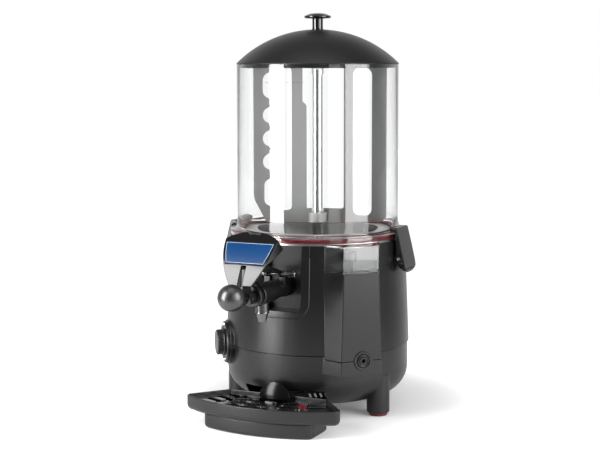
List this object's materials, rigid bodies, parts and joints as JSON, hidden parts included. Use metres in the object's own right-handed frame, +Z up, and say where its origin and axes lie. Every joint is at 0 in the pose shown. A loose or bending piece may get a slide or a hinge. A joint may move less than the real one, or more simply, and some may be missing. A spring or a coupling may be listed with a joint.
{
  "type": "hot drink dispenser",
  "caption": "Round heated drink dispenser with a clear stirred bowl, domed lid, lever tap under a hood, water box with clear cover, thermostat knob and loose drip tray.",
  "frame": {"origin": "on the floor, on the axis of the bowl, the agitator and the casings", "axes": "+Z up along the axis of the bowl; -Y to the front, where the tap and the drip tray are; +X to the right seen from the front"},
  "size_m": [0.2964, 0.4447, 0.5802],
  "materials": {
    "casing": "black moulded plastic, soft sheen",
    "cover_sheet": "black painted sheet",
    "foot_rubber": "red rubber, matt",
    "steel": "brushed stainless steel",
    "bright_steel": "polished steel",
    "heater": "dull sheathed heating tube",
    "motor": "dark grey paint",
    "black_gloss": "black plastic, satin",
    "white_plastic": "white bearing plastic",
    "clear": "clear polycarbonate",
    "red_rubber": "red silicone",
    "lid_plastic": "black plastic, satin",
    "well_plastic": "dark grey plastic",
    "float_plastic": "dark plastic",
    "pipe": "grey metal",
    "knob_plastic": "black plastic, satin",
    "tap_plastic": "black plastic, satin",
    "ball_gloss": "black phenolic ball",
    "hood_plastic": "black plastic, glossy",
    "label_blue": "plain blue plate, satin",
    "tray_plastic": "black plastic, soft sheen",
    "float_red": "red plastic"
  },
  "bodies": {
    "base": {"lower_casing": "casing", "upper_casing": "casing", "bottom_cover": "cover_sheet", "rubber_feet": "foot_rubber", "front_panel": "casing", "jacket_tank": "steel", "product_tank": "steel", "heater_ring": "heater", "column_tube": "steel", "gear_motor": "motor", "motor_bracket": "steel", "bowl": "clear", "bowl_seal": "red_rubber", "latch_pins": "bright_steel", "filler_well": "well_plastic", "drain_ring": "black_gloss", "drain_pipe": "pipe", "thermostat": "pipe", "knob_plate": "knob_plastic", "knob_plate_screws": "bright_steel", "tap_body": "tap_plastic", "tap_gland": "tap_plastic", "tap_spring": "steel", "tap_nozzle": "bright_steel", "lever_pin": "steel", "tap_hood": "hood_plastic", "hood_label": "label_blue", "tie_rod": "steel", "tie_nut": "bright_steel", "cable_gland": "black_gloss", "casing_screws": "steel", "cover_screws": "steel"},
    "stirrer": {"drive_shaft": "steel", "drive_cap": "bright_steel", "agitator": "steel", "agitator_nut": "black_gloss", "column_bush": "white_plastic"},
    "lid_unit": {"lid": "lid_plastic", "lid_knob": "lid_plastic", "lid_screw": "steel"},
    "left_latch": {"latch_left": "black_gloss"},
    "right_latch": {"latch_right": "black_gloss"},
    "cover": {"filler_cover": "clear"},
    "gauge": {"level_float": "float_plastic"},
    "plug": {"drain_plug": "black_gloss"},
    "knob": {"thermostat_knob": "knob_plastic"},
    "piston": {"tap_piston": "tap_plastic", "piston_seals": "foot_rubber", "fork_pin": "steel"},
    "lever": {"tap_lever": "tap_plastic", "tap_ball": "ball_gloss"},
    "tray": {"drip_tray": "tray_plastic"},
    "grille": {"drip_grille": "tray_plastic"},
    "tray_gauge": {"tray_float": "float_red"}
  },
  "joints": [
    {"name": "stirrer_spin", "type": "hinge", "parent": "base", "child": "stirrer", "pos_m": [0, 0, 0.3], "axis": [0, 0, 1], "continuous": true},
    {"name": "lid_lift", "type": "slide", "parent": "base", "child": "lid_unit", "axis": [0, 0, 1], "range_m": [0, 0.12]},
    {"name": "left_latch_swing", "type": "hinge", "parent": "base", "child": "left_latch", "pos_m": [-0.137, 0, 0.227], "axis": [0, -1, 0], "range_deg": [0, 24]},
    {"name": "right_latch_swing", "type": "hinge", "parent": "base", "child": "right_latch", "pos_m": [0.137, 0, 0.227], "axis": [0, 1, 0], "range_deg": [0, 24]},
    {"name": "cover_lift", "type": "slide", "parent": "base", "child": "cover", "axis": [0, 0, 1], "range_m": [0, 0.05]},
    {"name": "gauge_rise", "type": "slide", "parent": "base", "child": "gauge", "axis": [0, 0, 1], "range_m": [-0.015, 0.004]},
    {"name": "plug_turn", "type": "hinge", "parent": "base", "child": "plug", "pos_m": [0.11616, -0.10565, 0.093], "axis": [0.729, -0.6845, 0], "range_deg": [0, 90]},
    {"name": "knob_turn", "type": "hinge", "parent": "base", "child": "knob", "pos_m": [-0.11345, -0.08705, 0.0975], "axis": [-0.7934, -0.6088, 0], "range_deg": [0, 270]},
    {"name": "lever_pull", "type": "hinge", "parent": "base", "child": "lever", "pos_m": [0, -0.231, 0.238], "axis": [-1, 0, 0], "range_deg": [0, 12], "stiffness_Nm_per_rad": 1.2, "springref_deg": -5.73},
    {"name": "piston_pull", "type": "slide", "parent": "base", "child": "piston", "axis": [0, -1, 0], "range_m": [0, 0.0097], "deforming": ["tap_spring"]},
    {"name": "tray_pull", "type": "slide", "parent": "base", "child": "tray", "axis": [0, -1, 0], "range_m": [0, 0.12]},
    {"name": "grille_lift", "type": "slide", "parent": "tray", "child": "grille", "axis": [0, 0, 1], "range_m": [0, 0.06]},
    {"name": "tray_gauge_rise", "type": "slide", "parent": "tray", "child": "tray_gauge", "axis": [0, 0, 1], "range_m": [0, 0.008]}
  ],
  "couplings": [
    {"joint": "piston_pull", "follows": "lever_pull", "m_per_rad": 0.04567}
  ]
}
